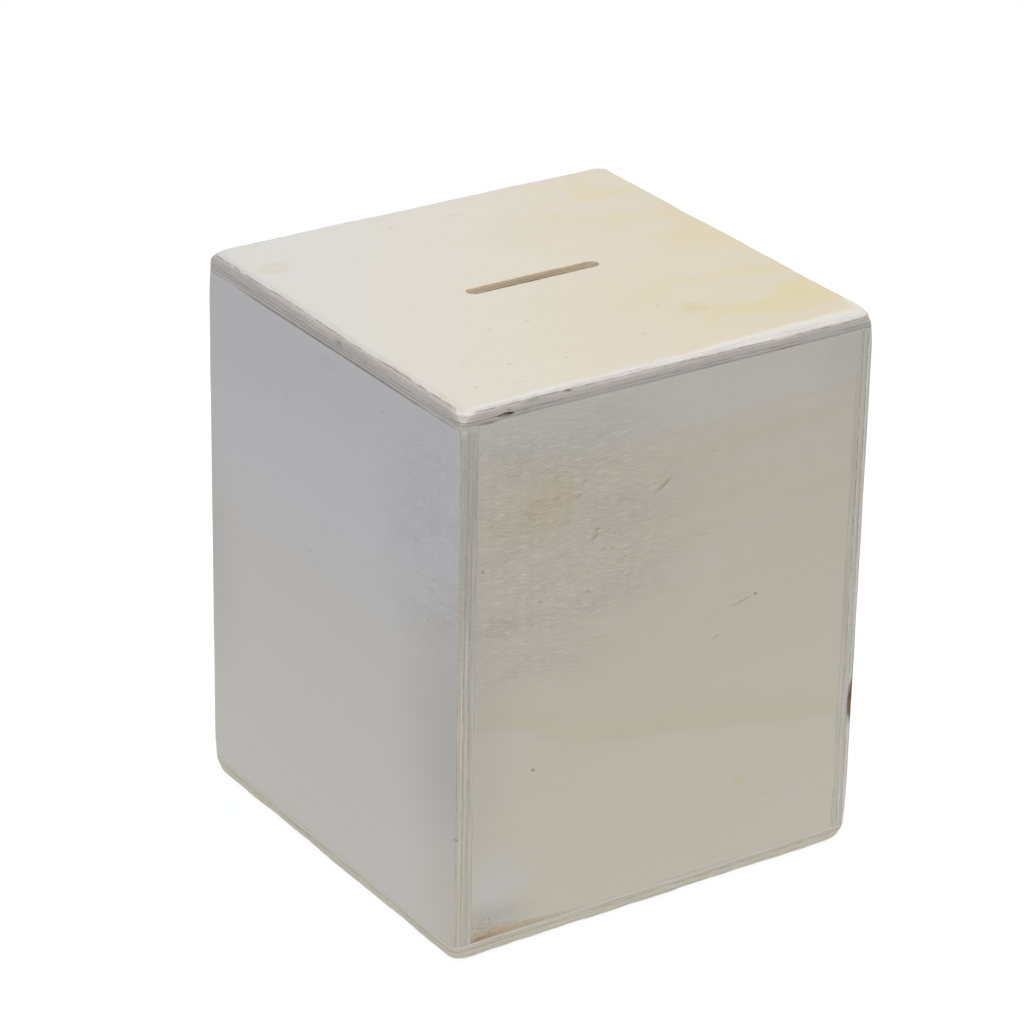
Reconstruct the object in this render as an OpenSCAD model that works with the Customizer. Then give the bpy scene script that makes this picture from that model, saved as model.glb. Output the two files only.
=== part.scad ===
// Wooden money box: six glued plywood panels and a push-in stopper in the base.
// The top and base panels cover the four walls, and the left and right walls run
// the full depth, with the front and back walls fitted between them.
//
// Origin: centre of the underside. +Z is up, the front faces -Y and the coin slot
// runs along X. All sizes are in millimetres.

/* [Box] */
// Width of the box, from left to right
box_w = 99; // [70:1:160]
// Depth of the box, from front to back
box_d = 97; // [70:1:160]
// Height of the box
box_h = 122; // [60:1:220]
// Thickness of the three-ply plywood
ply_t = 4; // [3.6:0.1:6]

/* [Sanded edges] */
// Radius sanded along the outer edges of the top and base panels
edge_r = 2; // [0.5:0.1:3]
// Radius sanded along the four upright edges
upright_r = 0.8; // [0.3:0.1:2]

/* [Coin slot] */
// Length of the coin slot, over its round ends
slot_l = 32; // [24:0.5:40]
// Width of the coin slot
slot_w = 3.3; // [3:0.1:6]
// How far the slot sits behind the middle of the top
slot_back = 1.6; // [0:0.1:10]

/* [Emptying hole] */
// Radius of the hole through the base
hole_r = 14; // [12:0.5:20]
// Radius of the recess that the stopper's rim sinks into
recess_r = 17; // [16.5:0.5:24]
// Depth of the recess, measured from the underside
recess_depth = 1.6; // [1.4:0.1:2.4]

/* [Stopper] */
// Thickness of the stopper's rim
rim_t = 1.2; // [0.8:0.1:1.3]
// Wall thickness of the stopper's plug
plug_wall = 2; // [1.2:0.1:3]
// How far the stopper reaches up above the underside of the box
plug_top = 9; // [7:0.5:16]
// Width of the bar that the fingers pull
grip_w = 3; // [2:0.5:5]
// Play between the stopper's sealing ribs and the hole
rib_play = 0.05; // [0.02:0.01:0.1]

/* [Hidden] */
$fn = 96;

birch = "#e6dfd0";
birch_wall = "#d8d3c8";
black_rubber = "#2a2a2c";

wall_h = box_h - 2 * ply_t;
inner_w = box_w - 2 * ply_t;
// How far a cut runs past the face it opens through
past = 1;

rim_r = recess_r - 0.3;
rim_z = recess_depth - rim_t;
plug_r = hole_r - 0.4;
rib_r = hole_r - rib_play;
rib_h = 0.8;
rib_zs = [2.2, 4.4];
pocket_r = plug_r - plug_wall;
pocket_top = plug_top - plug_wall;

// A rectangle with round corners, centred on the origin
module round_rectangle(w, d, r) {
    square([w, d - 2 * r], center = true);
    square([w - 2 * r, d], center = true);
    for (x = [-1, 1], y = [-1, 1])
        translate([x * (w / 2 - r), y * (d / 2 - r)])
            circle(r);
}

// The whole box as one solid block, with its outer edges sanded round
module sanded_block() {
    intersection() {
        linear_extrude(box_h)
            round_rectangle(box_w, box_d, upright_r);
        translate([0, 0, box_h / 2])
            rotate([90, 0, 0])
                linear_extrude(box_d + 2 * past, center = true)
                    round_rectangle(box_w, box_h, edge_r);
        translate([0, 0, box_h / 2])
            rotate([90, 0, 90])
                linear_extrude(box_w + 2 * past, center = true)
                    round_rectangle(box_d, box_h, edge_r);
    }
}

// The layer of the block between two heights
module block_layer(z_low, z_high) {
    intersection() {
        sanded_block();
        translate([-box_w, -box_d, z_low])
            cube([2 * box_w, 2 * box_d, z_high - z_low]);
    }
}

// A wall that runs the full depth, with its two outer upright edges sanded round
module side_wall() {
    translate([0, 0, ply_t])
        linear_extrude(wall_h)
            intersection() {
                round_rectangle(box_w, box_d, upright_r);
                translate([-box_w / 2 - past, -box_d])
                    square([ply_t + past, 2 * box_d]);
            }
}

// A wall that fits between the two side walls, with its front face at y_front
module cross_wall(y_front) {
    translate([-inner_w / 2, y_front, ply_t])
        cube([inner_w, ply_t, wall_h]);
}

// Panel with the coin slot
module top_panel() {
    color(birch)
        difference() {
            block_layer(box_h - ply_t, box_h);
            translate([0, slot_back, box_h - ply_t - past])
                linear_extrude(ply_t + 2 * past) {
                    square([slot_l - slot_w, slot_w], center = true);
                    for (x = [-1, 1])
                        translate([x * (slot_l - slot_w) / 2, 0])
                            circle(slot_w / 2);
                }
        }
}

// Panel that the box stands on, with the stepped hole for the stopper
module base_panel() {
    color(birch)
        difference() {
            block_layer(0, ply_t);
            translate([0, 0, -past])
                cylinder(h = ply_t + 2 * past, r = hole_r);
            translate([0, 0, -past])
                cylinder(h = recess_depth + past, r = recess_r);
        }
}

module front_panel() {
    color(birch_wall)
        cross_wall(-box_d / 2);
}

module back_panel() {
    color(birch_wall)
        cross_wall(box_d / 2 - ply_t);
}

module left_panel() {
    color(birch_wall)
        side_wall();
}

module right_panel() {
    color(birch_wall)
        mirror([1, 0, 0])
            side_wall();
}

// Push-in stopper: a rim in the recess, a ribbed plug in the hole, and a pocket
// underneath with a bar across it for the fingers
module stopper() {
    color(black_rubber) {
        rotate_extrude()
            difference() {
                union() {
                    translate([0, rim_z])
                        square([rim_r, rim_t]);
                    translate([0, rim_z])
                        square([plug_r, plug_top - rim_z]);
                    for (z = rib_zs)
                        translate([0, z])
                            square([rib_r, rib_h]);
                }
                translate([0, rim_z - past])
                    square([pocket_r, pocket_top - rim_z + past]);
            }
        translate([-pocket_r - plug_wall / 2, -grip_w / 2, rim_z])
            cube([2 * pocket_r + plug_wall, grip_w, pocket_top - rim_z + plug_wall / 2]);
    }
}

top_panel();
base_panel();
front_panel();
back_panel();
left_panel();
right_panel();
stopper();
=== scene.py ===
import math

import bmesh
import bpy
import numpy as np
from mathutils import Matrix, Vector


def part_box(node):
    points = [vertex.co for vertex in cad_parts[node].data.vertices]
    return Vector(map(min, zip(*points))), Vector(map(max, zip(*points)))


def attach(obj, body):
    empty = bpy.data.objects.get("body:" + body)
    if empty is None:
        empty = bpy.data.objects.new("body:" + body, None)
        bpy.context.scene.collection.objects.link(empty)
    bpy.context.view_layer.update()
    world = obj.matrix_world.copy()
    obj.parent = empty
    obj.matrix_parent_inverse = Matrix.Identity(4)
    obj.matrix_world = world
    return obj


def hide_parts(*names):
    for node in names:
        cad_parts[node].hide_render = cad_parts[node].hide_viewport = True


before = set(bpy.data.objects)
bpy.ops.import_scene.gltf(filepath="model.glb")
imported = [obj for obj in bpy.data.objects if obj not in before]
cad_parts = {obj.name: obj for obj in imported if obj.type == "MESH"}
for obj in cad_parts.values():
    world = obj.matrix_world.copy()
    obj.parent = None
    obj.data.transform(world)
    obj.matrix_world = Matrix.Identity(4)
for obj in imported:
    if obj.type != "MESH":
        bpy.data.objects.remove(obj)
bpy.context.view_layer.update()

# Lengths are in millimetres up to the point where a mesh, a light or the camera is made.
MM = 0.001
# Points inside each round corner of a panel's outline
CORNER_POINTS = 7
# Gaps between a panel's columns of points, between the rings down its side, between a wall's
# grid lines, and between the points around a chip or a void
GRID = 0.7
RING_GAP = 0.12
WALL_GRID = 1.2
FINE_GRID = 0.2
SANDED_RADIUS = 2.0
# Corner radii in plan, in the order front right, back right, back left, front left
TOP_CORNERS = np.array([6.0, 2.8, 3.6, 6.0])
BASE_CORNERS = np.array([6.5, 2.8, 7.0, 4.6])
# How much of a corner's radius is left where the sanded edge meets the side
SIDE_SHARE = 0.53
# The upright edges have the joint's radius at both ends of a wall, and the smaller one further on
JOINT_RADIUS = 1.6
JOINT_REACH = 7
UPRIGHT_RADIUS = 0.8
CRISP_RADIUS = 0.09
# Groove along a glue line on a panel's side
GROOVE_DEPTH = 0.05
GROOVE_HALF_WIDTH = 0.15
SLOT_HALF_LENGTH = 16.0
SLOT_HALF_WIDTH = 1.65
SLOT_BACK = 1.6
SLOT_RIM = 0.4
HOLE_RADIUS = 14.0
HOLE_BEVEL = 0.2
RECESS_RADIUS = 17.0
RECESS_BEVEL = 0.25
RECESS_DEPTH = 1.6
# Middle of the open void in the top panel's front edge, and of the chip in the left wall's
VOID = (-39.5, -48.5, 119.25)
CHIP = (-49.4, -48.4, 28.8)
# Middle, half length and depth of the hairline gap over the left wall
GAP_MIDDLE = -2
GAP_HALF_LENGTH = 36
GAP_DEPTH = 0.2
# The stopper's plug, its two sealing ribs and the pocket under it
PLUG_RADIUS = 13.6
RIB_STARTS = (4.4, 2.2)
RIB_HEIGHT = 0.8
POCKET_RADIUS = 11.6
POCKET_TOP = 7.0
# Bar across the stopper's pocket
GRIP_HALF_LENGTH = 12.4
GRIP_HALF_WIDTH = 1.5
GRIP_RADIUS = 0.4


def corners(node):
    """Lowest and highest corner of a CAD node, in millimetres."""
    low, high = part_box(node)
    return np.array(low) / MM, np.array(high) / MM


BOX_LOW = np.minimum(corners("base_panel")[0], corners("left_panel")[0])
BOX_HIGH = np.maximum(corners("top_panel")[1], corners("right_panel")[1])
HALF_X = BOX_HIGH[0]
HALF_Y = BOX_HIGH[1]
HEIGHT = BOX_HIGH[2]
PLY = HEIGHT - corners("top_panel")[0][2]


# ---------------------------------------------------------------- meshes


def graded(start, end, step, fine=()):
    """Positions from start to end, closer together inside each (low, high, step) stretch."""
    points = [start]
    while points[-1] < end - step / 2:
        here = points[-1]
        gaps = [gap for low, high, gap in fine if low - step <= here < high]
        points.append(here + min(gaps + [step]))
    points = np.array(points)
    return start + (points - start) * (end - start) / (points[-1] - start)


def wander(places, seed, reach):
    """Smooth random wave between about -1 and 1 along a line, with bends about reach apart."""
    random = np.random.default_rng(seed)
    wave = np.zeros(len(places))
    for octave in range(4):
        pitch = reach * random.uniform(1.6, 2.6) / 1.7**octave
        wave += np.sin(2 * np.pi * (places / pitch + random.random())) / 1.6**octave
    return wave / 2.2


def outline(half_x, half_y, radii, steps):
    """Loop round a rectangle with round corners, from its front left corner. There is one
    radius, or one for the corner at the end of each side."""
    radii = np.broadcast_to(radii, 4)
    bend = np.linspace(-math.pi / 2, 0, CORNER_POINTS + 2)[1:-1]
    loop = []
    for turn in range(4):
        along, out = (half_x, half_y) if turn % 2 == 0 else (half_y, half_x)
        radius, before = radii[turn], radii[turn - 1]
        side = before - along + steps[turn] * (2 * along - before - radius)
        x = np.concatenate([side, along - radius + radius * np.cos(bend)])
        y = np.concatenate([np.full(len(side), -out), radius - out + radius * np.sin(bend)])
        cos, sin = [(1, 0), (0, 1), (-1, 0), (0, -1)][turn]
        loop.append(np.column_stack([cos * x - sin * y, sin * x + cos * y]))
    return np.concatenate(loop)


def stadium(half_length, half_width, steps):
    """Loop round a slot, point for point beside outline() with the same steps."""
    reach = half_length - half_width
    loop = []
    for turn, sign in ((0, 1), (2, -1)):
        x = (2 * steps[turn] - 1) * reach
        count = len(steps[turn + 1]) + 2 * CORNER_POINTS
        bend = math.pi * (np.arange(1, count + 1) / (count + 1) - 0.5)
        straight = np.column_stack([x, np.full(len(x), -half_width)])
        end = half_width * np.column_stack([np.cos(bend), np.sin(bend)])
        loop += [sign * straight, sign * (end + [reach, 0])]
    return np.concatenate(loop)


def circle(radius, beside):
    """Loop round the Z axis, with each point in the direction of its neighbour in beside."""
    return radius * beside / np.linalg.norm(beside, axis=1)[:, None]


def level(loop, z):
    """The loop at height z, which may differ from point to point."""
    return np.column_stack([loop, np.broadcast_to(z, len(loop))])


def spread(inner, outer, z, shares):
    """Flat rings from the inner loop to the outer one."""
    return [level(inner + (outer - inner) * share, z) for share in shares]


def ring_faces(count, size):
    """Quads between count closed rings of size points, the last ring joined to the first."""
    a = np.arange(count * size).reshape(count, size)
    b = np.roll(a, -1, axis=1)
    c = np.roll(b, -1, axis=0)
    d = np.roll(a, -1, axis=0)
    return np.stack([a, b, c, d], axis=-1).reshape(-1, 4)


def block(xs, ys, zs):
    """Points and quads of a closed block with grid lines at the given coordinates."""
    lines = (xs, ys, zs)
    last = [len(line) - 1 for line in lines]
    index, points, faces = {}, [], []

    def point(key):
        if key not in index:
            index[key] = len(points)
            points.append([lines[axis][key[axis]] for axis in range(3)])
        return index[key]

    for axis in range(3):
        first, second = (axis + 1) % 3, (axis + 2) % 3
        for end in (0, last[axis]):
            for i in range(last[first]):
                for j in range(last[second]):
                    quad = []
                    for di, dj in ((0, 0), (1, 0), (1, 1), (0, 1)):
                        key = [0, 0, 0]
                        key[axis], key[first], key[second] = end, i + di, j + dj
                        quad.append(point(tuple(key)))
                    faces.append(quad if end else quad[::-1])
    return np.array(points, float), faces


def round_edge(points, axes, corner, signs, radius):
    """Rounds one straight edge of a block. The edge runs along the third axis."""
    a, b = axes
    across = signs[0] * (points[:, a] - corner[0]) + radius
    out = signs[1] * (points[:, b] - corner[1]) + radius
    inside = (across > 0) & (out > 0)
    length = np.hypot(across, out)
    length[length == 0] = 1
    shrink = np.where(inside, np.maximum(across, out) / length, 1)
    points[:, a] += np.where(inside, signs[0] * across * (shrink - 1), 0)
    points[:, b] += np.where(inside, signs[1] * out * (shrink - 1), 0)


def dent(points, centre, size, push):
    """Pushes in the points near a centre, in an uneven hollow."""
    away = np.linalg.norm((points - centre) / size, axis=1)
    ragged = 1 + 0.25 * wander(points @ [1.0, 0.6, 1.7], 5, 1.1)
    share = np.clip(1.25 - away * ragged, 0, 1) ** 0.8
    points += share[:, None] * np.array(push)


def add_piece(name, points, faces, body, node, material):
    """Makes the mesh object that stands for a CAD node."""
    mesh = bpy.data.meshes.new(name)
    mesh.from_pydata([tuple(p) for p in points * MM], [], [tuple(map(int, f)) for f in faces])
    shape = bmesh.new()
    shape.from_mesh(mesh)
    bmesh.ops.recalc_face_normals(shape, faces=shape.faces)
    shape.to_mesh(mesh)
    shape.free()
    mesh.shade_smooth()
    mesh.materials.append(material)
    piece = bpy.data.objects.new(name, mesh)
    bpy.context.scene.collection.objects.link(piece)
    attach(piece, body)
    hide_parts(node)
    return piece


def sanded_edge(side_steps, z_face, z_side, corner_radii, seed):
    """Rings from a flat panel face round its sanded edge to the start of its side."""
    up = np.sign(z_face - z_side)
    rings = []
    flat = outline(HALF_X, HALF_Y, UPRIGHT_RADIUS, side_steps)

    # How unevenly the edge was sanded: slow waves and quick ones, along its rough length
    run = np.arange(len(flat)) * 0.55
    wear = 0.16 * wander(run, seed, 14) + 0.05 * wander(run, seed + 1, 2.5)

    outward = flat / np.abs(flat / [HALF_X, HALF_Y]).max(axis=1)[:, None]
    outward = outward / np.linalg.norm(outward, axis=1)[:, None]
    for turn in np.linspace(0, math.pi / 2, 13):
        inset = SANDED_RADIUS * (1 - math.sin(turn))
        drop = SANDED_RADIUS * (1 - math.cos(turn))
        corner = corner_radii * (1 + (SIDE_SHARE - 1) * math.sin(turn))
        loop = outline(HALF_X - inset, HALF_Y - inset, corner, side_steps)
        bite = (0.1 + wear) * math.sin(2 * turn) * 0.7
        rings.append(level(loop - outward * bite[:, None], z_face - up * (drop + bite)))
    return rings


def side_band(side_steps, z_start, z_end, corner_radii):
    """Rings down the upright side of a panel, with shallow grooves at the glue lines."""
    count = int(abs(z_end - z_start) / RING_GAP)
    rings = []
    for share in np.linspace(0, 1, count + 1)[1:]:
        z = z_start + (z_end - z_start) * share
        glue = min(abs((z % PLY) - line) for line in (PLY / 3, PLY * 2 / 3))
        groove = GROOVE_DEPTH * max(0.0, 1 - glue / GROOVE_HALF_WIDTH)
        corner = JOINT_RADIUS + (SIDE_SHARE * corner_radii - JOINT_RADIUS) * (1 - share) ** 2
        rings.append(level(outline(HALF_X - groove, HALF_Y - groove, corner, side_steps), z))
    return rings


def panel_steps(fine):
    """Shares along the four sides of a panel where its mesh has a column of points."""
    front = graded(-HALF_X, HALF_X, GRID, fine)
    side = graded(-HALF_Y, HALF_Y, GRID)
    front = (front + HALF_X) / (2 * HALF_X)
    side = (side + HALF_Y) / (2 * HALF_Y)
    back = np.linspace(0, 1, len(side))
    return [front, side, back, side]


def crisp_turn(side_steps, z_side, z_face):
    """Rings round the crisp edge where a panel meets the walls."""
    rings = []
    for turn in np.linspace(0, math.pi / 2, 4)[1:]:
        inset = CRISP_RADIUS * (1 - math.cos(turn))
        z = z_side + (z_face - z_side) * math.sin(turn)
        loop = outline(HALF_X - inset, HALF_Y - inset, JOINT_RADIUS, side_steps)
        rings.append(level(loop, z))
    return rings


def top_panel(material):
    """Top panel: coin slot, sanded outer edge, and an open void in its front edge."""
    steps = panel_steps([(VOID[0] - 3, VOID[0] + 3, FINE_GRID)])
    under = HEIGHT - PLY
    shares = np.linspace(0, 1, 34) ** 0.9
    slot = stadium(SLOT_HALF_LENGTH, SLOT_HALF_WIDTH, steps) + [0, SLOT_BACK]
    rings = [level(slot, z) for z in np.linspace(under + CRISP_RADIUS, HEIGHT - SLOT_RIM, 8)]

    # The slot's rounded rim, a little uneven
    nibble = 0.06 * wander(np.arange(len(slot)) * 0.2, 21, 3.0)
    reach = SLOT_HALF_LENGTH - SLOT_HALF_WIDTH
    away = slot - np.clip(slot, [-reach, SLOT_BACK], [reach, SLOT_BACK])
    away = away / np.linalg.norm(away, axis=1)[:, None]
    for turn in np.linspace(0, math.pi / 2, 6)[1:]:
        grow = SLOT_RIM * (1 - math.cos(turn)) + nibble * math.sin(turn)
        rise = SLOT_RIM * (1 - math.sin(turn))
        rings.append(level(slot + away * grow[:, None], HEIGHT - rise))

    edge = sanded_edge(steps, HEIGHT, HEIGHT - SANDED_RADIUS, TOP_CORNERS, 31)
    rings += spread(rings[-1][:, :2], edge[0][:, :2], HEIGHT, shares[1:-1])
    rings += edge
    rings += side_band(steps, HEIGHT - SANDED_RADIUS, under + CRISP_RADIUS, TOP_CORNERS)
    turn = crisp_turn(steps, under + CRISP_RADIUS, under)
    rings += turn
    rings += spread(turn[-1][:, :2], slot, under, np.linspace(0, 1, 16)[1:])
    points = np.concatenate(rings)

    # The void and two smaller hollows, as (place, half sizes, push) rows
    dents = [
        (VOID, (1.5, 1.4, 0.3), (0, 1.3, 0)),
        ((-25.0, -48.5, 120.7), (0.6, 0.8, 0.2), (0, 0.3, 0)),
        ((-49.5, -3.5, 120.0), (0.8, 1.1, 0.35), (0.12, 0, 0)),
    ]
    for centre, size, push in dents:
        dent(points, centre, size, push)
    return add_piece(
        "birch_top_panel", points, ring_faces(len(rings), len(slot)),
        "box", "top_panel", material,
    )


def bevel(radius, size, z, around, shares):
    """Rings that widen a hole by size, while they go down as far to height z."""
    return [level(circle(radius + size * share, around), z + size * (1 - share))
            for share in shares]


def base_panel(material):
    """Base panel: sanded outer edge, and the stepped hole for the stopper."""
    steps = panel_steps([])
    edge = sanded_edge(steps, 0, SANDED_RADIUS, BASE_CORNERS, 41)
    around = edge[0][:, :2]
    hole = circle(HOLE_RADIUS, around)
    recess = circle(RECESS_RADIUS, around)
    hole_rim = circle(HOLE_RADIUS + HOLE_BEVEL, around)
    recess_rim = circle(RECESS_RADIUS + RECESS_BEVEL, around)
    rings = [level(hole, z)
             for z in np.linspace(PLY - HOLE_BEVEL, RECESS_DEPTH + HOLE_BEVEL, 7)]
    rings += bevel(HOLE_RADIUS, HOLE_BEVEL, RECESS_DEPTH, around, (0.5, 1))
    rings += spread(hole_rim, recess, RECESS_DEPTH, np.linspace(0, 1, 8)[1:])
    rings += [level(recess, z) for z in np.linspace(RECESS_DEPTH, RECESS_BEVEL, 6)[1:]]
    rings += bevel(RECESS_RADIUS, RECESS_BEVEL, 0, around, (0.28, 0.6, 1))
    rings += spread(recess_rim, around, 0, np.linspace(0, 1, 26)[1:-1])
    rings += edge
    rings += side_band(steps, SANDED_RADIUS, PLY - CRISP_RADIUS, BASE_CORNERS)
    turn = crisp_turn(steps, PLY - CRISP_RADIUS, PLY)
    rings += turn
    rings += spread(turn[-1][:, :2], hole_rim, PLY, np.linspace(0, 1, 16)[1:])
    return add_piece(
        "birch_base_panel", np.concatenate(rings), ring_faces(len(rings), len(hole)),
        "box", "base_panel", material,
    )


def edge_lines(low, high, radius, step, fine=()):
    """Grid lines across a wall, closer together at its two edges."""
    near = [(low, low + radius * 1.2, radius / 5), (high - radius * 1.2, high, radius / 5)]
    return graded(low, high, step, near + list(fine))


def wall(name, node, outer_x, material):
    """Wall panel. outer_x is -1 or 1 for a side wall, whose two outer upright edges are sanded."""
    low, high = corners(node)
    side = outer_x != 0
    largest = JOINT_RADIUS if side else CRISP_RADIUS
    xs = edge_lines(low[0], high[0], largest, WALL_GRID)
    ys = edge_lines(low[1], high[1], largest, WALL_GRID)
    fine = [(CHIP[2] - 2.3, CHIP[2] + 2.2, FINE_GRID)] if outer_x < 0 else []
    zs = edge_lines(low[2], high[2], CRISP_RADIUS, WALL_GRID, fine)
    points, faces = block(xs, ys, zs)
    to_end = np.minimum(points[:, 2] - low[2], high[2] - points[:, 2])
    wear = UPRIGHT_RADIUS * (1 + 0.12 * wander(points[:, 2], 7 + outer_x, 13))
    wear = wear + (JOINT_RADIUS - wear) * np.clip(1 - to_end / JOINT_REACH, 0, 1) ** 2
    for x_sign, x in ((-1, low[0]), (1, high[0])):
        for y_sign, y in ((-1, low[1]), (1, high[1])):
            radius = wear if side and x_sign == outer_x else np.full(len(points), CRISP_RADIUS)
            round_edge(points, (0, 1), (x, y), (x_sign, y_sign), radius)
    crisp = np.full(len(points), CRISP_RADIUS)
    for z_sign, z in ((-1, low[2]), (1, high[2])):
        for axis in (0, 1):
            for sign, at in ((-1, low[axis]), (1, high[axis])):
                round_edge(points, (axis, 2), (at, z), (sign, z_sign), crisp)
    if outer_x < 0:
        open_joint(points, low[0], high[2])
        dent(points, CHIP, (0.5, 0.7, 0.35), (0.35, 0.35, 0))
    return add_piece(name, points, faces, "box", node, material)


def open_joint(points, x_outer, z_top):
    """Opens the hairline gap over the middle of the left wall, under the top panel."""
    middle = np.clip(1 - np.abs((points[:, 1] - GAP_MIDDLE) / GAP_HALF_LENGTH) ** 2.5, 0, 1)
    shallow = np.clip(1 - (points[:, 0] - x_outer) / 1.6, 0, 1)
    near_top = np.clip((points[:, 2] - z_top + 0.8) / 0.8, 0, 1)
    points[:, 2] -= GAP_DEPTH * middle * shallow * near_top


def arc(centre_r, centre_z, radius, start, end, count=5):
    """Points of a quarter turn in a stopper's (radius, height) profile, angles in degrees."""
    angles = np.radians(np.linspace(start, end, count))
    return [(centre_r + radius * math.cos(a), centre_z + radius * math.sin(a)) for a in angles]


def stopper_profile(rim, bottom, top):
    """(radius, height) points from the middle of the closed top, down the plug and its ribs,
    round the rim, and up the pocket to the middle of its ceiling."""
    points = [(0.4, top), (6, top)] + arc(12.8, top - 0.6, 0.6, 90, 0)
    points += [(13.45, 5.6)]
    for start in RIB_STARTS:
        points += [(PLUG_RADIUS, start + RIB_HEIGHT)]
        points += arc(PLUG_RADIUS + 0.05, start + RIB_HEIGHT / 2, 0.3, 75, -75, 7)
        points += [(PLUG_RADIUS, start)]
    points += arc(rim - 0.35, 1.25, 0.35, 90, 0)
    points += arc(rim - 0.45, bottom + 0.45, 0.45, 0, -90)
    points += [(14.2, bottom)] + arc(POCKET_RADIUS + 0.5, bottom + 0.5, 0.5, -90, -180)
    points += [(POCKET_RADIUS, 3.5)] + arc(POCKET_RADIUS - 0.7, POCKET_TOP - 0.7, 0.7, 0, 90)
    return points + [(6, POCKET_TOP), (0.4, POCKET_TOP)]


def grip_bar(bottom):
    """Bar across the stopper's pocket, with its two lower edges rounded."""
    points, faces = block(
        np.linspace(-GRIP_HALF_LENGTH, GRIP_HALF_LENGTH, 40),
        edge_lines(-GRIP_HALF_WIDTH, GRIP_HALF_WIDTH, GRIP_RADIUS, 0.4),
        edge_lines(bottom, POCKET_TOP + 0.6, GRIP_RADIUS, 0.6),
    )
    soft = np.full(len(points), GRIP_RADIUS)
    for sign in (-1, 1):
        round_edge(points, (1, 2), (sign * GRIP_HALF_WIDTH, bottom), (sign, -1), soft)
    mesh = bpy.data.meshes.new("grip_bar")
    mesh.from_pydata([tuple(p) for p in points * MM], [], faces)
    bar = bpy.data.objects.new("grip_bar", mesh)
    bpy.context.scene.collection.objects.link(bar)
    return bar


def stopper(material):
    """Stopper: rim, ribbed plug, and a pocket underneath with a bar for the fingers."""
    low, high = corners("stopper")
    bottom, top = low[2], high[2]
    around = np.linspace(0, 2 * np.pi, 145)[:-1]
    turn = np.column_stack([np.cos(around), np.sin(around)])
    rings = [level(turn * r, z) for r, z in stopper_profile(high[0], bottom, top)]
    size = len(around)
    points = np.concatenate(rings + [[[0, 0, top]], [[0, 0, POCKET_TOP]]])
    faces = [tuple(f) for f in ring_faces(len(rings), size)[:-size]]
    for ring, tip in ((0, len(rings) * size), (len(rings) - 1, len(rings) * size + 1)):
        at = ring * size
        faces += [(at + i, at + (i + 1) % size, tip) for i in range(size)]
    cup = add_piece("rubber_stopper", points, faces, "stopper", "stopper",
                    material)
    bar = grip_bar(bottom)
    join = cup.modifiers.new("join", "BOOLEAN")
    join.operation = "UNION"
    join.object = bar
    shapes = bpy.context.evaluated_depsgraph_get()
    joined = bpy.data.meshes.new_from_object(cup.evaluated_get(shapes))
    cup.modifiers.clear()
    cup.data = joined
    bpy.data.objects.remove(bar)
    cup.data.shade_smooth()
    cup.data.set_sharp_from_angle(angle=math.radians(40))
    return cup


# ---------------------------------------------------------------- materials


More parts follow.
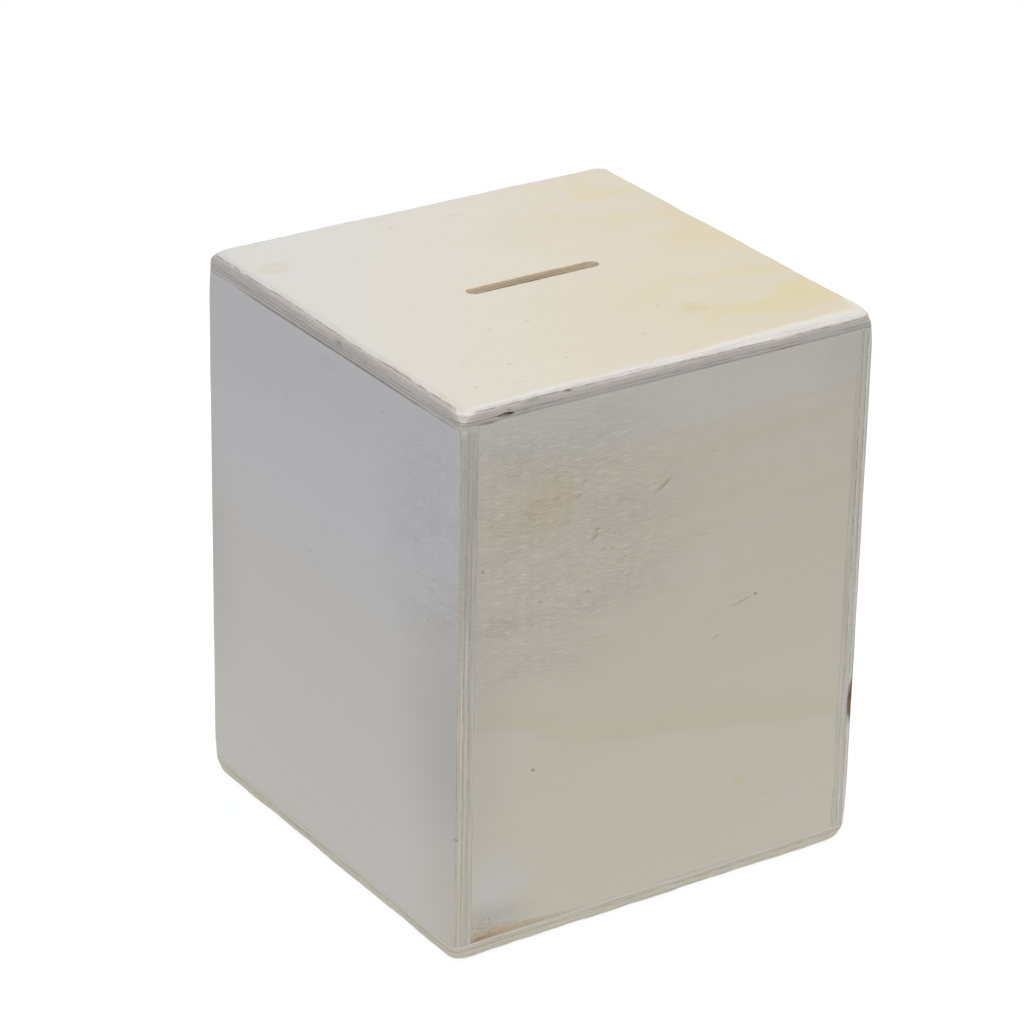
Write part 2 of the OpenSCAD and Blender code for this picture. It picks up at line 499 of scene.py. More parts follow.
class Graph:
    """The nodes of one material, with short calls for the kinds that are used here."""

    def __init__(self, name):
        self.material = bpy.data.materials.new(name)
        self.material.use_nodes = True
        self.tree = self.material.node_tree
        self.tree.nodes.clear()

    def node(self, kind, inputs, output=0, **settings):
        """Adds a node, and feeds each input from another node or sets it."""
        made = self.tree.nodes.new(kind)
        for name, value in settings.items():
            setattr(made, name, value)
        for key, value in inputs.items():
            if isinstance(value, bpy.types.NodeSocket):
                self.tree.links.new(value, made.inputs[key])
            else:
                made.inputs[key].default_value = value
        return made.outputs[output]

    def math(self, operation, first, second=0.0):
        return self.node("ShaderNodeMath", {0: first, 1: second}, operation=operation)

    def plus(self, first, second):
        return self.math("ADD", first, second)

    def minus(self, first, second):
        return self.math("SUBTRACT", first, second)

    def times(self, first, second):
        return self.math("MULTIPLY", first, second)

    def away(self, value, middle):
        """Distance of a value from a middle."""
        return self.math("ABSOLUTE", self.minus(value, middle))

    def mix(self, factor, first, second, blend="MIX"):
        inputs = {0: factor, 6: first, 7: second}
        return self.node("ShaderNodeMix", inputs, 2, data_type="RGBA", blend_type=blend)

    def vector(self, operation, first, second):
        return self.node("ShaderNodeVectorMath", {0: first, 1: second}, operation=operation)

    def parts(self, vector):
        """The x, y and z of a vector."""
        made = self.tree.nodes.new("ShaderNodeSeparateXYZ")
        self.tree.links.new(vector, made.inputs[0])
        return list(made.outputs)

    def blend(self, factor, first, second):
        """Mixes two numbers."""
        return self.node("ShaderNodeMix", {0: factor, 2: first, 3: second}, 0)

    def ease(self, value, start, end, low=0.0, high=1.0):
        """Smooth step from low at start to high at end."""
        inputs = {"Value": value, "From Min": start, "From Max": end, "To Min": low, "To Max": high}
        return self.node("ShaderNodeMapRange", inputs, interpolation_type="SMOOTHSTEP")

    def joined(self, x, y, z=0.0):
        return self.node("ShaderNodeCombineXYZ", {0: x, 1: y, 2: z})

    def stretched(self, place, sizes):
        """Place divided by a size along each axis, so that a noise of scale 1 has that grain."""
        inputs = {"Vector": place, "Scale": sizes}
        return self.node("ShaderNodeMapping", inputs, vector_type="TEXTURE")

    def noise(self, place, detail=2.0, roughness=0.5):
        inputs = {"Vector": place, "Scale": 1.0, "Detail": detail, "Roughness": roughness}
        return self.node("ShaderNodeTexNoise", inputs)

    def pushed(self, place, grain, reach):
        """Place, moved by up to half of reach either way, in noise of that grain."""
        inputs = {"Vector": self.stretched(place, grain), "Scale": 1.0}
        push = self.node("ShaderNodeTexNoise", inputs, "Color")
        centred = self.vector("SUBTRACT", push, (0.5,) * 3)
        return self.vector("ADD", place, self.vector("MULTIPLY", centred, reach))

    def spot(self, place, centre, sizes, turn, soft):
        """1 inside an ellipsoid, falling to 0 at its skin over the soft share of its radius."""
        inputs = {
            "Vector": place, "Location": centre,
            "Rotation": (0, 0, math.radians(turn)), "Scale": sizes,
        }
        local = self.node("ShaderNodeMapping", inputs, vector_type="TEXTURE")
        away = self.node("ShaderNodeVectorMath", {0: local}, 1, operation="LENGTH")
        return self.ease(away, 1 - soft, 1.0, 1.0, 0.0)

    def curve(self, value, low, high, points):
        """Height of a given line over value, where points are (value, height) pairs."""
        heights = [y for x, y in points]
        bottom, top = min(heights) - 1, max(heights) + 1
        inputs = {"Value": value, "From Min": low, "From Max": high}
        share = self.node("ShaderNodeMapRange", inputs)
        made = self.tree.nodes.new("ShaderNodeFloatCurve")
        line = made.mapping.curves[0]
        scaled = [((x - low) / (high - low), (y - bottom) / (top - bottom)) for x, y in points]
        line.points[0].location = scaled[0]
        line.points[1].location = scaled[-1]
        for x, y in scaled[1:-1]:
            line.points.new(x, y)
        made.mapping.update()
        self.tree.links.new(share, made.inputs["Value"])
        inputs = {"Value": made.outputs[0], "To Min": bottom, "To Max": top}
        return self.node("ShaderNodeMapRange", inputs)

    def finish(self, shader):
        """Ends the graph in the material's surface."""
        out = self.tree.nodes.new("ShaderNodeOutputMaterial")
        self.tree.links.new(shader, out.inputs["Surface"])
        return self.material


BIRCH = (0.72, 0.68, 0.59, 1)
BIRCH_PALE = (0.735, 0.705, 0.635, 1)
BIRCH_WARM = (0.69, 0.60, 0.43, 1)
BIRCH_COOL = (0.70, 0.69, 0.665, 1)
BLUISH = (0.70, 0.695, 0.72, 1)
GOLD = (0.705, 0.615, 0.35, 1)
OLIVE = (0.62, 0.58, 0.38, 1)
SANDED = (0.80, 0.78, 0.765, 1)
DULL = (0.56, 0.54, 0.50, 1)
SMUDGE = (0.50, 0.475, 0.43, 1)
CUT = (0.56, 0.535, 0.51, 1)
CUT_WARM = (0.60, 0.57, 0.48, 1)
STRAW = (0.70, 0.66, 0.51, 1)
STAIN = (0.60, 0.45, 0.27, 1)
END_DARK = (0.42, 0.40, 0.385, 1)
EDGE_BEIGE = (0.60, 0.575, 0.53, 1)
ROSY = (0.80, 0.74, 0.71, 1)
CREAM = (0.82, 0.79, 0.65, 1)
PINK = (0.60, 0.51, 0.44, 1)
MAUVE = (0.55, 0.545, 0.56, 1)
FLECK = (0.50, 0.32, 0.16, 1)
MILLED_AND_PAINTED_LIGHT = (0.93, 0.80, 0.62, 1)
GLUE = (0.33, 0.24, 0.155, 1)
DARK = (0.16, 0.11, 0.07, 1)
BARK_AND_VOID_SHADE = (0.13, 0.07, 0.032, 1)
GAP_SHADOW = (0.06, 0.058, 0.056, 1)
BROWN = (0.32, 0.2, 0.11, 1)
ORANGE = (0.62, 0.42, 0.22, 1)
RUBBER = (0.022, 0.022, 0.024, 1)
BLOOM = (0.045, 0.045, 0.045, 1)


def panel_place(graph, node, axes):
    """Millimetres along the grain, across it and in from the outer face, and how squarely the
    surface looks out of the panel."""
    low, high = corners(node)
    along, across, depth = axes
    middle = (BOX_LOW + BOX_HIGH) / 2
    outer, inward = (high[depth], -1) if low[depth] > middle[depth] else (low[depth], 1)
    place = graph.parts(graph.node("ShaderNodeTexCoord", {}, "Object"))
    millimetres = [graph.times(part, 1 / MM) for part in place]
    normal = graph.parts(graph.node("ShaderNodeTexCoord", {}, "Normal"))
    facing = graph.math("ABSOLUTE", normal[depth])
    w = graph.times(graph.minus(millimetres[depth], outer), inward)
    return millimetres[along], millimetres[across], w, facing


def even_veneer(graph, u, v):
    """Thickness of an outer ply that the sanding left alone."""
    return PLY / 3


def figure(graph, shifted, core):
    """Colour of clean birch, with the streaks and pores that run along the grain of each ply."""
    u, v, w = graph.parts(shifted)
    turned = graph.joined(v, u, w)
    fibre = graph.node("ShaderNodeMix", {0: core, 4: shifted, 5: turned}, 1, data_type="VECTOR")
    drift = graph.noise(graph.stretched(fibre, (75, 15, 15)), 3, 0.55)
    streak = graph.noise(graph.stretched(fibre, (30, 1.1, 1.1)), 3, 0.6)
    pores = graph.noise(graph.stretched(fibre, (2.2, 0.22, 0.22)), 2, 0.6)
    colour = graph.mix(graph.ease(drift, 0.35, 0.7, 0.25, 0.75), BIRCH_PALE, BIRCH)
    colour = graph.mix(graph.ease(streak, 0.45, 0.75, 0, 0.12), colour, BIRCH_WARM)
    return colour, streak, pores


def paint_lines(graph, colour, depth, cut, lines):
    """Lines along the plies of a cut edge, as (depth, half width, colour, strength) rows."""
    for at, half_width, paint, strength in lines:
        line = graph.ease(graph.away(depth, at), half_width, half_width * 0.3, 0, strength)
        colour = graph.mix(graph.times(line, cut), colour, paint)
    return colour


def paint_flaws(graph, colour, place, cut, flaws):
    """Uneven spots on a cut edge, as (place, half sizes, softness, colour, strength) rows."""
    reach = (1.6, 1.6, 0.5)
    uneven = graph.pushed(place, reach, reach)
    for centre, sizes, soft, paint, strength in flaws:
        flaw = graph.times(graph.spot(uneven, centre, sizes, 0, soft), strength)
        colour = graph.mix(graph.times(flaw, cut), colour, paint)
    return colour


def edge_streaks(graph, shifted):
    """Streaks that follow the plies of a cut edge, with small darker dots among them."""
    plies = graph.noise(graph.stretched(shifted, (16, 16, 0.14)), 3, 0.6)
    dots = graph.noise(graph.stretched(shifted, (0.5, 0.5, 0.25)), 1)
    dots = graph.ease(dots, 0.52, 0.7, 0, 0.5)
    return graph.minus(graph.minus(plies, 0.44), graph.times(dots, 0.3))


def raised_fibres(graph, u, v, shifted, napped):
    """Height of the fibres that the sanding raised, and how strongly they show."""
    sway = graph.noise(graph.stretched(shifted, (24, 16, 16)), 1)
    across = graph.times(graph.minus(sway, 0.5), 5)
    swayed = graph.vector("ADD", shifted, graph.joined(0.0, across))
    nap = graph.noise(graph.stretched(swayed, (3.0, 0.17, 0.17)), 0)
    nap = graph.ease(nap, 0.36, 0.64)
    patchy = graph.noise(graph.stretched(shifted, (18, 6, 6)), 2)
    patchy = graph.ease(patchy, 0.4, 0.6, 0.72, 1)
    middle_u, middle_v, half_length, half_width, strength = napped
    centre, sizes = (middle_u, middle_v, 0), (half_length, half_width, 1)
    zone = graph.spot(graph.joined(u, v), centre, sizes, 0, 1.0)
    zone = graph.ease(zone, 0, 0.8, 0.05 * strength, strength)
    return nap, graph.times(patchy, zone)


def plywood(name, node, axes, marks, napped, lines=(), flaws=(), veneer=even_veneer,
            cut_colour=CUT_WARM):
    """Three-ply birch. axes are the axis numbers along the grain, across it, and through the
    panel. marks(graph, colour, u, v) paints what is special to the outer face. napped is the
    (u, v, half length, half width, strength) of the patch where the fibres stand up most. lines
    and flaws are painted on the cut edges. veneer(graph, u, v) is how thick the sanding left the
    outer ply, and cut_colour is the colour of the other plies' edges."""
    graph = Graph(name)
    u, v, w, facing = panel_place(graph, node, axes)
    place = graph.joined(u, v, w)
    seed = sum(map(ord, node)) % 97 * 13.0
    shifted = graph.vector("ADD", place, (seed, seed, 0))

    # The layers: face ply, glue line, core with its grain across, glue line, inner ply
    wobble = graph.minus(graph.noise(graph.stretched(shifted, (26, 26, 26))), 0.5)
    depth = graph.plus(w, graph.times(wobble, 0.5))
    first = graph.minus(depth, veneer(graph, u, v))
    second = graph.minus(depth, PLY * 2 / 3)
    core = graph.times(graph.ease(first, -0.03, 0.03), graph.ease(second, 0.03, -0.03))
    glue = graph.math("MAXIMUM", graph.ease(graph.away(first, 0), 0.12, 0.02),
                      graph.ease(graph.away(second, 0), 0.12, 0.02))

    colour, streak, pores = figure(graph, shifted, core)
    colour = graph.mix(graph.ease(w, 1.2, 0.7), colour, marks(graph, colour, u, v))

    # Cut edges: greyer end grain, and broken brown glue lines
    cut = graph.minus(1.0, graph.ease(facing, 0.75, 0.97))
    under = graph.times(graph.ease(first, -0.08, 0.08), cut)
    colour = graph.mix(graph.times(cut, 0.5), colour, SANDED)
    colour = graph.mix(graph.times(under, 0.75), colour, cut_colour)
    # Some rows of lines and flaws are painted shade, and one is painted light, besides marks in the
    # wood
    colour = paint_lines(graph, colour, depth, cut, lines)
    broken = graph.noise(graph.stretched(shifted, (3.2, 3.2, 0.6)), 2)
    broken = graph.ease(broken, 0.38, 0.58, 0.12, 0.85)
    colour = graph.mix(graph.times(glue, graph.times(cut, broken)), colour, GLUE)
    colour = paint_flaws(graph, colour, place, cut, flaws)

    # Raised fibres catch the light, pores and streaks darken the wood a little
    nap, patch = raised_fibres(graph, u, v, shifted, napped)
    fibres = graph.times(graph.times(graph.minus(nap, 0.47), patch), 0.11)
    grain = graph.times(graph.minus(pores, 0.5), 0.035)
    streaks = graph.times(graph.times(edge_streaks(graph, shifted), cut), 1.05)
    light = graph.plus(graph.plus(graph.plus(1.0, fibres), grain), streaks)
    colour = graph.mix(1.0, colour, graph.joined(light, light, light), "MULTIPLY")
    inputs = {"Height": graph.times(nap, patch), "Strength": 1.0, "Distance": 0.085 * MM}
    shader = {
        "Base Color": colour, "Normal": graph.node("ShaderNodeBump", inputs),
        "Specular IOR Level": 0.32, "Roughness": graph.ease(streak, 0.2, 0.8, 0.62, 0.72),
    }
    return graph.finish(graph.node("ShaderNodeBsdfPrincipled", shader))


def stains(graph, colour, place, rows):
    """Paints a list of (u, v, half length, half width, turn, softness, colour, strength)."""
    for u, v, length, width, turn, soft, paint, strength in rows:
        spot = graph.spot(place, (u, v, 0), (length, width, 1), turn, soft)
        colour = graph.mix(graph.times(spot, strength), colour, paint)
    return colour


def ragged(graph, u, v, size, amount):
    """The face's own coordinates, pushed about so that a stain's outline isn't a clean ellipse."""
    return graph.pushed(graph.joined(u, v), (size, size * 0.6, size), (amount,) * 3)


def plain_marks(graph, colour, u, v):
    """A few pin knots and mineral streaks, for a face that has no marks of its own."""
    place = ragged(graph, u, v, 9, 5)
    rows = [
        (-22, 30, 9, 3.5, 8, 0.9, BIRCH_WARM, 0.35), (26, 66, 14, 3, -4, 0.9, BIRCH_WARM, 0.3),
        (12, 18, 1.3, 0.3, 5, 0.6, DARK, 0.4), (-33, 84, 1.6, 0.35, -12, 0.6, DARK, 0.35),
        (5, 52, 0.9, 0.3, 20, 0.6, DARK, 0.35), (31, 97, 1.2, 0.3, 0, 0.6, DARK, 0.3),
    ]
    return stains(graph, colour, place, rows)


def front_marks(graph, colour, x, z):
    """Front face: two figure lines, a yellow patch, ticks, and a stained lower left corner."""
    ridge = graph.curve(x, -46, 46, [(-46, 110.2), (-30, 108), (-8, 106), (20, 106.7), (46, 107)])
    over = graph.minus(z, ridge)
    colour = graph.mix(graph.ease(over, -1.5, 3, 0, 0.3), colour, BIRCH_COOL)
    line = graph.ease(graph.away(over, 0), 0.9, 0.0, 0, 0.22)
    colour = graph.mix(line, colour, BIRCH_WARM)
    colour = graph.mix(graph.ease(over, 0.5, -4, 0, 0.2), colour, BIRCH_WARM)
    points = [(-46, 52), (-35, 50), (-28, 45.5), (-12, 41), (8, 38), (28, 34), (46, 31)]
    wave = graph.curve(x, -46, 46, points)
    over = graph.minus(z, wave)
    shade = graph.times(graph.ease(over, -0.3, 0.5), graph.ease(over, 12, 0.5, 0, 0.34))
    colour = graph.mix(shade, colour, BIRCH_WARM)
    colour = graph.mix(graph.ease(over, 0.2, -3.0, 0, 0.3), colour, BIRCH_PALE)
    # Yellower toward the bottom: painted warm light bounced up from the floor
    colour = graph.mix(graph.ease(z, 70, 0, 0, 0.35), colour, STRAW)
    broad = [
        (-46, 45, 15, 55, 0, 1.0, DULL, 0.35), (46, 114, 16, 16, 0, 1.0, DULL, 0.3),
        (-28.5, 98, 8.5, 8, 0, 0.4, BIRCH_WARM, 0.45), (-34, 96, 12, 5, 8, 0.5, GOLD, 0.15),
        (-40, 15, 13, 12, 10, 1.0, BIRCH_COOL, 0.95), (-42, 8, 18, 7, 0, 1.0, DULL, 0.75),
        (-20, 44, 13, 9, -8, 1.0, STRAW, 0.4),
        (20.5, 22.5, 3.2, 2.0, 0, 1.0, GOLD, 0.45), (28, 17.5, 1.8, 1.3, 0, 0.9, GOLD, 0.4),
        (34, 93.5, 3, 1.2, 10, 1.0, GOLD, 0.4),
    ]
    colour = stains(graph, colour, ragged(graph, x, z, 5, 2.5), broad)
    fine = [
        (-1.8, 95.5, 3.6, 0.5, 34, 1.0, ORANGE, 0.7), (-1.3, 95.4, 2.2, 0.25, 34, 0.6, DARK, 0.45),
        (19, 64.5, 3.6, 0.22, 13, 0.6, DARK, 0.35), (22.5, 65.3, 0.55, 0.35, 0, 0.6, DARK, 0.6),
        (13, 58, 1.3, 0.22, 15, 0.6, FLECK, 0.5), (-31.3, 39.8, 0.6, 0.45, 0, 0.6, DARK, 0.6),
        (-17.3, 89.6, 0.9, 0.35, 35, 0.8, FLECK, 0.6), (-17.8, 88.2, 1.5, 0.35, 32, 0.8, FLECK, 0.75),
        (-15.6, 84.9, 1.0, 0.3, 15, 0.8, FLECK, 0.5), (-13.4, 84.7, 1.0, 0.3, 20, 0.8, FLECK, 0.55),
        (-10.5, 82, 0.8, 0.35, 0, 0.8, FLECK, 0.5), (-19.3, 80.9, 1.1, 0.22, 35, 0.7, FLECK, 0.35),
        (-19.3, 76.5, 1.1, 0.25, 5, 0.6, DARK, 0.3), (-30.5, 77, 0.8, 0.3, 0, 0.6, DARK, 0.3),
        (-22, 97.8, 1.0, 0.35, 30, 0.8, FLECK, 0.7), (-20.6, 100.7, 1.1, 0.3, 35, 0.8, FLECK, 0.5),
        (-27, 98.6, 1.3, 0.3, 15, 0.8, FLECK, 0.35), (-24.3, 92.9, 0.9, 0.5, 0, 0.9, ORANGE, 0.6),
        (-44, 87, 0.6, 0.8, 20, 0.8, FLECK, 0.55), (-21, 75, 0.8, 0.2, 0, 0.6, DARK, 0.2),
        (10.5, 100, 1.0, 0.22, 10, 0.6, FLECK, 0.35), (9, 82, 1.2, 0.22, 5, 0.6, FLECK, 0.35),
    ]
    colour = stains(graph, colour, graph.joined(x, z), fine)

    # A stain that crept up from the joint with the base, with dark specks at its upper edge
    place = graph.joined(x, z)
    uneven = graph.noise(graph.stretched(place, (2.2, 0.9, 1)), 3, 0.7)
    points = [(-46, 4.6), (-40, 4.2), (-34, 3.0), (-25, 1.6), (-10, 1.2), (0, 1.2)]
    height = graph.curve(x, -46, 0, points)
    rise = graph.minus(z, PLY)
    reach = graph.plus(graph.math("DIVIDE", rise, height), graph.times(uneven, 1.3))
    fade = graph.ease(x, -12, -36, 0, 1)
    creep = graph.times(graph.ease(reach, 1.5, 0.75, 0, 0.8), fade)
    colour = graph.mix(creep, colour, STAIN)
    low = graph.times(graph.ease(reach, 1.05, 0.6), graph.ease(x, -36, -45, 0.15, 0.8))
    colour = graph.mix(graph.times(low, fade), colour, BROWN)
    specks = graph.noise(graph.stretched(place, (0.9, 0.45, 1)), 2, 0.7)
    band = graph.spot(place, (-43, 7.4, 0), (9, 3.6, 1), 8, 0.9)
    speckled = graph.times(graph.ease(specks, 0.57, 0.66), band)
    return graph.mix(graph.times(speckled, 0.65), colour, BROWN)


def left_marks(graph, colour, y, z):
    """Left face: bluish painted light toward the top, smudges, ticks, painted shadow in the hairline
    gap.
    """
    # Bluish toward the top: painted cool light on the upper left face
    colour = graph.mix(graph.ease(z, 20, 105, 0.35, 0.95), colour, BLUISH)
    smudges = [(1.5, 114, 6, 2.2, 0, 0.9, SMUDGE, 0.3), (17, 101, 4, 3, 0, 0.9, SMUDGE, 0.15)]
    colour = stains(graph, colour, ragged(graph, y, z, 6, 4), smudges)
    fine = [
        (-50, 48, 30, 46, 0, 1.0, DULL, 0.75), (48, 50, 16, 34, 0, 1.0, DULL, 0.35),
        (-50, 8, 20, 24, 0, 1.0, CUT_WARM, 0.5),
        (-20, 111.5, 1.0, 0.3, 10, 0.6, DARK, 0.2), (7.5, 69.8, 1.1, 0.35, 10, 0.8, DARK, 0.22),
        (6, 67.7, 1.0, 0.35, 0, 0.8, DARK, 0.2), (-27.5, 73, 0.9, 0.25, 0, 0.6, DARK, 0.15),
        (-15, 76, 0.9, 0.22, 0, 0.6, DARK, 0.15), (3, 77, 0.8, 0.22, 0, 0.6, DARK, 0.12),
    ]
    colour = stains(graph, colour, graph.joined(y, z), fine)

    # Painted shadow in the hairline gap under the top panel, dark along the wall's top lip
    under = HEIGHT - PLY
    open_part = graph.ease(graph.away(y, GAP_MIDDLE), 42, 24, 0, 0.9)
    lip = graph.times(graph.ease(z, under - 0.58, under - 0.44), open_part)
    return graph.mix(lip, colour, GAP_SHADOW)


def right_marks(graph, colour, y, z):
    """Right face: plain figure, and a spot of bark on the front upright edge."""
    colour = plain_marks(graph, colour, y, z)
    rows = [(-48.0, 34, 1.4, 6.5, 0, 0.5, BARK_AND_VOID_SHADE, 0.9), (-46.8, 31, 0.9, 3.5, 0, 0.6, BARK_AND_VOID_SHADE, 0.7)]
    return stains(graph, colour, ragged(graph, y, z, 2.5, 1.2), rows)


def top_marks(graph, colour, x, y):
    """Top face: yellow toward the right, a white sanded border, smudges and ticks."""
    slant = graph.minus(x, graph.times(y, 0.6))
    colour = graph.mix(graph.ease(slant, 10, -70, 0, 0.9), colour, BIRCH_COOL)
    colour = graph.mix(graph.ease(slant, -50, 80, 0, 0.6), colour, BIRCH_WARM)
    clouds = [
        (34, 32, 34, 22, 15, 1.0, GOLD, 0.45), (38, -30, 32, 24, 10, 1.0, GOLD, 0.75),
        (43, 6, 20, 28, 0, 1.0, GOLD, 0.4), (14, -18, 30, 24, 0, 1.0, GOLD, 0.27),
    ]
    colour = stains(graph, colour, ragged(graph, x, y, 30, 8), clouds)
    broad = [
        (22, -34, 10, 5, 10, 0.9, GOLD, 0.3),
        (-43, 32.5, 5, 4, -35, 0.5, OLIVE, 0.35),
        (-34, -28, 8, 1.2, 35, 0.8, BIRCH_WARM, 0.4),
        (18.5, -28.5, 4.5, 3.2, 20, 1.0, ORANGE, 0.5),
        (5.5, 38.5, 4.5, 0.7, 0, 0.8, SMUDGE, 0.3),
        (-48, -39.5, 1.2, 2, 0, 0.8, ORANGE, 0.3),
    ]
    colour = stains(graph, colour, ragged(graph, x, y, 7, 5), broad)
    fine = [
        (-14, -17.5, 0.8, 0.3, 0, 0.7, DARK, 0.35), (-23, -17.3, 0.7, 0.3, 0, 0.7, DARK, 0.3),
        (-17.5, -36.7, 0.7, 0.3, 0, 0.7, DARK, 0.3), (13, -24, 0.8, 0.25, 0, 0.7, DARK, 0.3),
        (2.5, -34.7, 0.7, 0.25, 0, 0.6, DARK, 0.35), (-29, -33.8, 0.6, 0.3, 0, 0.6, DARK, 0.4),
        (-40.5, -40, 0.6, 0.3, 0, 0.6, DARK, 0.4), (-32, -42, 2.2, 0.3, 0, 0.6, ORANGE, 0.4),
        (-10.5, 39.5, 0.9, 0.6, 0, 0.6, ORANGE, 0.4),
    ]
    colour = stains(graph, colour, graph.joined(x, y), fine)
    shaky = graph.times(graph.noise(graph.stretched(graph.joined(x, y), (9, 9, 9))), 1.6)
    front = graph.minus(graph.plus(y, HALF_Y), shaky)
    right = graph.minus(graph.minus(HALF_X, x), shaky)
    front = graph.math("DIVIDE", front, graph.ease(x, -10, 45, 1.2, 3.4))
    right = graph.math("DIVIDE", right, graph.ease(y, -37, -46, 0.45, 3.4))
    border = graph.ease(graph.math("MINIMUM", front, right), 1.0, 0.3, 0, 0.7)
    return graph.mix(border, colour, SANDED)


def worn_veneer(graph, x, y):
    """The top's outer ply: thin along the left edge, thicker to the right, and sanded so far
    down the front left corner that its white wood reaches most of the way to the wall."""
    across = graph.plus(graph.ease(x, -49.5, -44, 0.58, 0.95), graph.ease(x, -5, 35, 0, 0.3))
    corner = graph.spot(graph.joined(x, y), (-49.5, -48.5, 0), (4, 4, 1), 0, 1.0)
    return graph.plus(across, graph.times(corner, 2.6))


def rubber(name):
    """Moulded black rubber with a fine matt skin and a faint pale bloom."""
    graph = Graph(name)
    place = graph.node("ShaderNodeTexCoord", {}, "Object")
    bloom = graph.noise(graph.stretched(place, (0.006,) * 3), 3)
    skin = graph.noise(graph.stretched(place, (0.00035,) * 3), 2)
    colour = graph.mix(graph.ease(bloom, 0.3, 0.75), RUBBER, BLOOM)
    inputs = {"Height": skin, "Strength": 0.4, "Distance": 0.03 * MM}
    shader = {
        "Base Color": colour, "Normal": graph.node("ShaderNodeBump", inputs),
        "Roughness": graph.ease(bloom, 0.2, 0.8, 0.48, 0.62),
    }
    return graph.finish(graph.node("ShaderNodeBsdfPrincipled", shader))


# ---------------------------------------------------------------- studio

# Brightness of the floor as a lamp, and as the camera sees it
FLOOR_GLOW = 0.64
FLOOR_WHITE = 0.86
FLOOR_RADIUS = 0.34


def floor_sheet():
    """Round pale floor that glows like a light table. It can be seen through from below."""
    graph = Graph("floor_white")
    diffuse = graph.node("ShaderNodeBsdfDiffuse", {"Color": (0.22, 0.22, 0.22, 1)})
    seen = graph.node("ShaderNodeLightPath", {}, "Is Camera Ray")
    strength = graph.blend(seen, FLOOR_GLOW, FLOOR_WHITE)
    glow = graph.node("ShaderNodeEmission", {"Color": (0.99, 1, 1, 1), "Strength": strength})
    lit = graph.node("ShaderNodeAddShader", {0: diffuse, 1: glow})
    clear = graph.node("ShaderNodeBsdfTransparent", {})
    behind = graph.node("ShaderNodeNewGeometry", {}, "Backfacing")
    material = graph.finish(graph.node("ShaderNodeMixShader", {0: behind, 1: lit, 2: clear}))
    mesh = bpy.data.meshes.new("floor")
    shape = bmesh.new()
    bmesh.ops.create_circle(shape, cap_ends=True, radius=FLOOR_RADIUS, segments=128)
    shape.to_mesh(mesh)
    shape.free()
    mesh.materials.append(material)
    floor = bpy.data.objects.new("floor", mesh)
    floor.location.z = -0.3 * MM
    bpy.context.scene.collection.objects.link(floor)


def area_light(name, place, size, energy, colour):
    """Square softbox aimed at the middle of the box."""
    data = bpy.data.lights.new(name, "AREA")
    data.shape = "SQUARE"
    data.size = size
    data.energy = energy
    data.color = colour
    light = bpy.data.objects.new(name, data)
    light.location = place
    aim = Vector((0, 0, HEIGHT / 2 * MM)) - Vector(place)
    light.rotation_euler = aim.to_track_quat("-Z", "Y").to_euler()
    bpy.context.scene.collection.objects.link(light)


def studio_world():
    """Even dim light from all round, in front of a white backdrop."""
    world = bpy.data.worlds.new("studio")
    bpy.context.scene.world = world
    world.use_nodes = True
    tree = world.node_tree
    tree.nodes.clear()
    ambient = tree.nodes.new("ShaderNodeBackground")
    ambient.inputs["Color"].default_value = (0.991, 0.994, 1, 1)
    ambient.inputs["Strength"].default_value = 0.266
    ambient.name = "ambient"
    backdrop = tree.nodes.new("ShaderNodeBackground")
    backdrop.inputs["Color"].default_value = (1, 1, 1, 1)
    backdrop.inputs["Strength"].default_value = 1.0
    seen = tree.nodes.new("ShaderNodeLightPath")
    pick = tree.nodes.new("ShaderNodeMixShader")
    out = tree.nodes.new("ShaderNodeOutputWorld")
    tree.links.new(seen.outputs["Is Camera Ray"], pick.inputs[0])
    tree.links.new(ambient.outputs[0], pick.inputs[1])
    tree.links.new(backdrop.outputs[0], pick.inputs[2])
    tree.links.new(pick.outputs[0], out.inputs["Surface"])


def place_camera():
    """Camera that looks down on the front left corner, from nearly a metre away."""
    turn, tilt, roll = map(math.radians, (-33.84, 25.21, 1.13))
    distance, shift_right, shift_up = 0.8893, -0.00418, 0.00767
    back = np.array([
        math.sin(turn) * math.cos(tilt), -math.cos(turn) * math.cos(tilt), math.sin(tilt)
    ])
    right = np.array([math.cos(turn), math.sin(turn), 0])
    up = np.cross(back, right)
    eye = np.array([0, 0, HEIGHT / 2 * MM]) + back * distance + right * shift_right + up * shift_up
    rolled_right = right * math.cos(roll) + up * math.sin(roll)
    rolled_up = up * math.cos(roll) - right * math.sin(roll)
    data = bpy.data.cameras.new("camera")
    data.sensor_width = 36
    data.lens = 148.97
    data.clip_start, data.clip_end = 0.05, 20
    camera = bpy.data.objects.new("camera", data)
    camera.matrix_world = Matrix([
        [rolled_right[i], rolled_up[i], back[i], eye[i]] for i in range(3)
    ] + [[0, 0, 0, 1]])
    bpy.context.scene.collection.objects.link(camera)
    bpy.context.scene.camera = camera


# ---------------------------------------------------------------- the scene

X, Y, Z = range(3)
TOP_LINES = [
    (1.6, 0.5, PINK, 0.3), (2.5, 0.25, END_DARK, 0.3), (3.35, 0.35, END_DARK, 0.55),
    (3.85, 0.25, SANDED, 0.5),
]
BASE_LINES = [
    (2.2, 2.2, STRAW, 0.4), (0.5, 0.25, SANDED, 0.5), (3.7, 0.22, SANDED, 0.5),
    (3.1, 0.2, END_DARK, 0.3),
]
LEFT_LINES = [
    (2.0, 4.0, EDGE_BEIGE, 0.5), (0.1, 0.2, BROWN, 0.35), (0.45, 0.5, PINK, 0.65),
    (0.95, 0.25, CREAM, 0.4), (1.5, 0.32, PINK, 0.6), (2.05, 0.25, CREAM, 0.4),
    (2.9, 0.45, MAUVE, 0.5), (3.8, 0.4, BIRCH, 0.5),
]
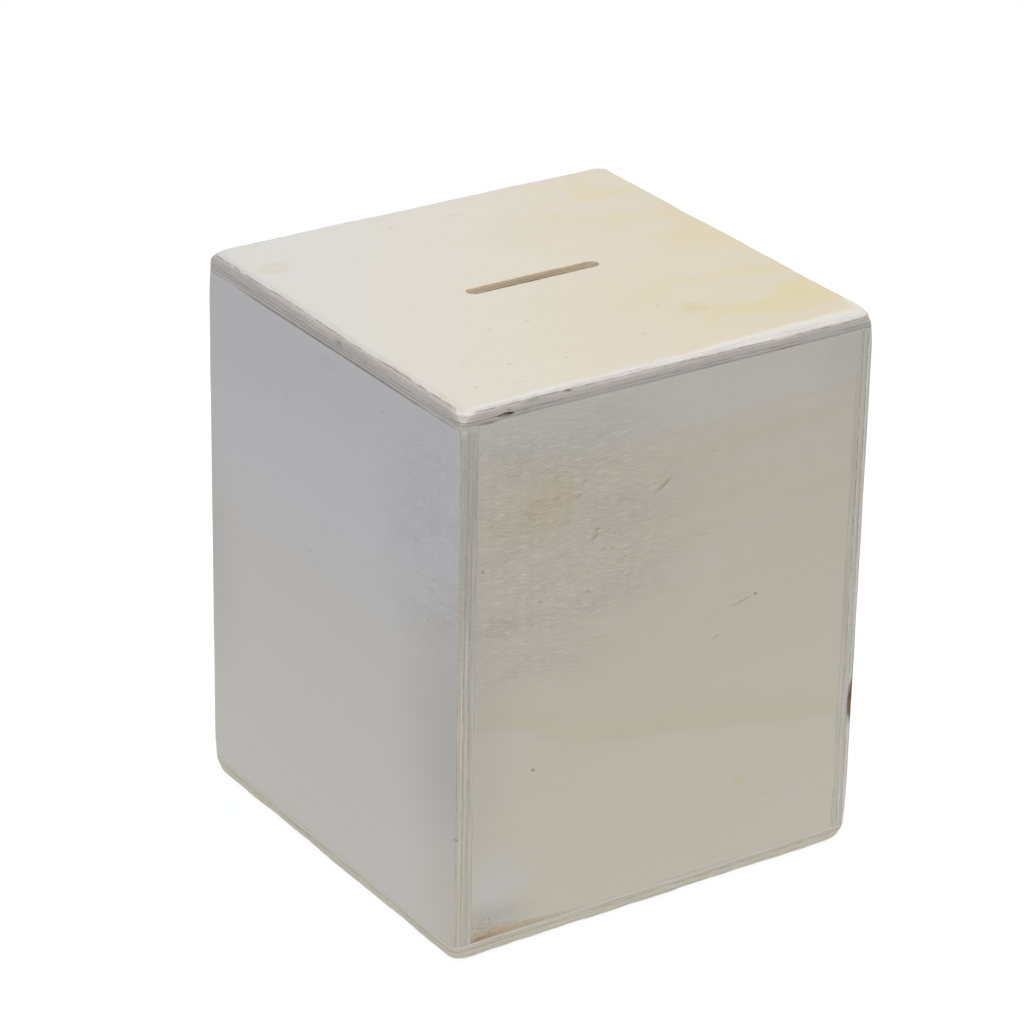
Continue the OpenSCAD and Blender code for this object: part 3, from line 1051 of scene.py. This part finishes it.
# The first two rows are painted shade along the right wall's sanded outer edge; the rest are ply
# lines
RIGHT_LINES_AND_SHADE = [
    (0.1, 0.8, DULL, 0.8), (0.1, 0.3, BROWN, 0.25), (1.6, 0.5, MAUVE, 0.3),
    (2.4, 0.4, CREAM, 0.1), (3.3, 0.5, MAUVE, 0.3),
]
RIGHT_FLAWS = [
    ((-48.4, 37, 0.2), (1.5, 13, 0.9), 1.0, BROWN, 0.6),
    ((-48.2, 33, 0.5), (1.6, 5.5, 1.4), 0.5, BARK_AND_VOID_SHADE, 0.85),
    ((-48.4, 36, 0.4), (1.4, 3.5, 1.1), 0.7, BARK_AND_VOID_SHADE, 0.8),
]
LEFT_FLAWS = [
    ((-48.5, 8, 2), (1.5, 50, 5), 1.0, CUT_WARM, 0.7),
    ((-48.5, 108, 2), (1.5, 60, 5), 1.0, EDGE_BEIGE, 0.8),
    ((-48.5, 98, 0.9), (1.2, 30, 0.09), 0.5, END_DARK, 0.6),
    ((-48.5, 100, 1.9), (1.2, 32, 0.14), 0.5, END_DARK, 0.8),
    ((-48.5, 92, 2.8), (1.2, 30, 0.09), 0.5, END_DARK, 0.6),
]
TOP_FLAWS_AND_SHADING = [
    ((-49, -48, 1.2), (4.5, 4.5, 1.6), 1.0, ROSY, 0.9),
    ((-43.5, -48.5, 3.6), (3.5, 1.5, 0.35), 0.7, BROWN, 0.7),
    ((-39.1, -48.5, 2.7), (2.9, 1.5, 0.6), 0.7, ORANGE, 0.85),
    # Near-black inside the open void: painted shade in the hollow
    ((-39.3, -48.5, 2.75), (1.9, 2.0, 0.4), 0.3, BARK_AND_VOID_SHADE, 1.0),
    ((-41.0, -48.5, 2.95), (0.5, 1.0, 0.25), 0.6, CREAM, 0.5),
    ((-38.5, -48.5, 1.8), (0.6, 1.0, 0.25), 0.7, BROWN, 0.7),
    ((-25, -48.5, 1.0), (1.4, 1.5, 0.35), 0.7, BROWN, 0.9),
    ((-20, -48.5, 0.95), (2.5, 1.0, 0.2), 0.9, BROWN, 0.6),
    ((-33, -48.5, 1.3), (4.0, 1.0, 0.3), 0.9, BROWN, 0.45),
    ((27, -48.5, 3.4), (5.5, 1.0, 0.2), 0.8, BROWN, 0.6),
    ((-49.5, -3.5, 2.0), (1.0, 2.0, 0.5), 0.8, BROWN, 0.7),
    # Pale milled wood on the slot's walls, made paler than the wood as painted light inside the slot
    ((0, SLOT_BACK, 1.8), (26, 4.2, 8), 0.2, MILLED_AND_PAINTED_LIGHT, 1.0),
    # Brown band deep in the slot: painted shade
    ((0, SLOT_BACK, 2.5), (26, 4.2, 1.2), 0.3, BROWN, 0.85),
]
panels = {
    "top": {
        "axes": (X, Y, Z), "marks": top_marks, "napped": (-20, -20, 60, 50, 0.12),
        "lines": TOP_LINES, "flaws": TOP_FLAWS_AND_SHADING, "veneer": worn_veneer, "cut_colour": CUT,
    },
    "base": {
        "axes": (X, Y, Z), "marks": plain_marks, "napped": (0, 0, 60, 60, 0.5),
        "lines": BASE_LINES,
    },
    "front": {"axes": (X, Z, Y), "marks": front_marks, "napped": (-30, 90, 60, 55, 1.0)},
    "back": {"axes": (X, Z, Y), "marks": plain_marks, "napped": (20, 40, 60, 60, 0.6)},
    "left": {
        "axes": (Y, Z, X), "marks": left_marks, "napped": (-40, 92, 34, 50, 0.8),
        "lines": LEFT_LINES, "flaws": LEFT_FLAWS,
    },
    "right": {
        "axes": (Y, Z, X), "marks": right_marks, "napped": (10, 60, 50, 60, 0.6),
        "lines": RIGHT_LINES_AND_SHADE, "flaws": RIGHT_FLAWS,
    },
}
wood = {
    side: plywood(f"birch_{side}", f"{side}_panel", **recipe) for side, recipe in panels.items()
}
top_panel(wood["top"])
base_panel(wood["base"])
for side, outer_x in (("front", 0), ("back", 0), ("left", -1), ("right", 1)):
    wall(f"birch_{side}_panel", f"{side}_panel", outer_x, wood[side])
stopper(rubber("black_rubber"))

floor_sheet()
area_light("overhead", (-0.05, -0.28, 1.08), 1.2, 8.6, (1, 0.999, 0.994))
area_light("left_fill", (-1.0, -0.1, 0.6), 0.8, 1.235, (0.91, 0.93, 1))
area_light("back_warm", (0.7, 0.6, 1.0), 0.8, 4.37, (1, 0.966, 0.894))
studio_world()
place_camera()
bpy.context.scene.view_settings.view_transform = "Standard"
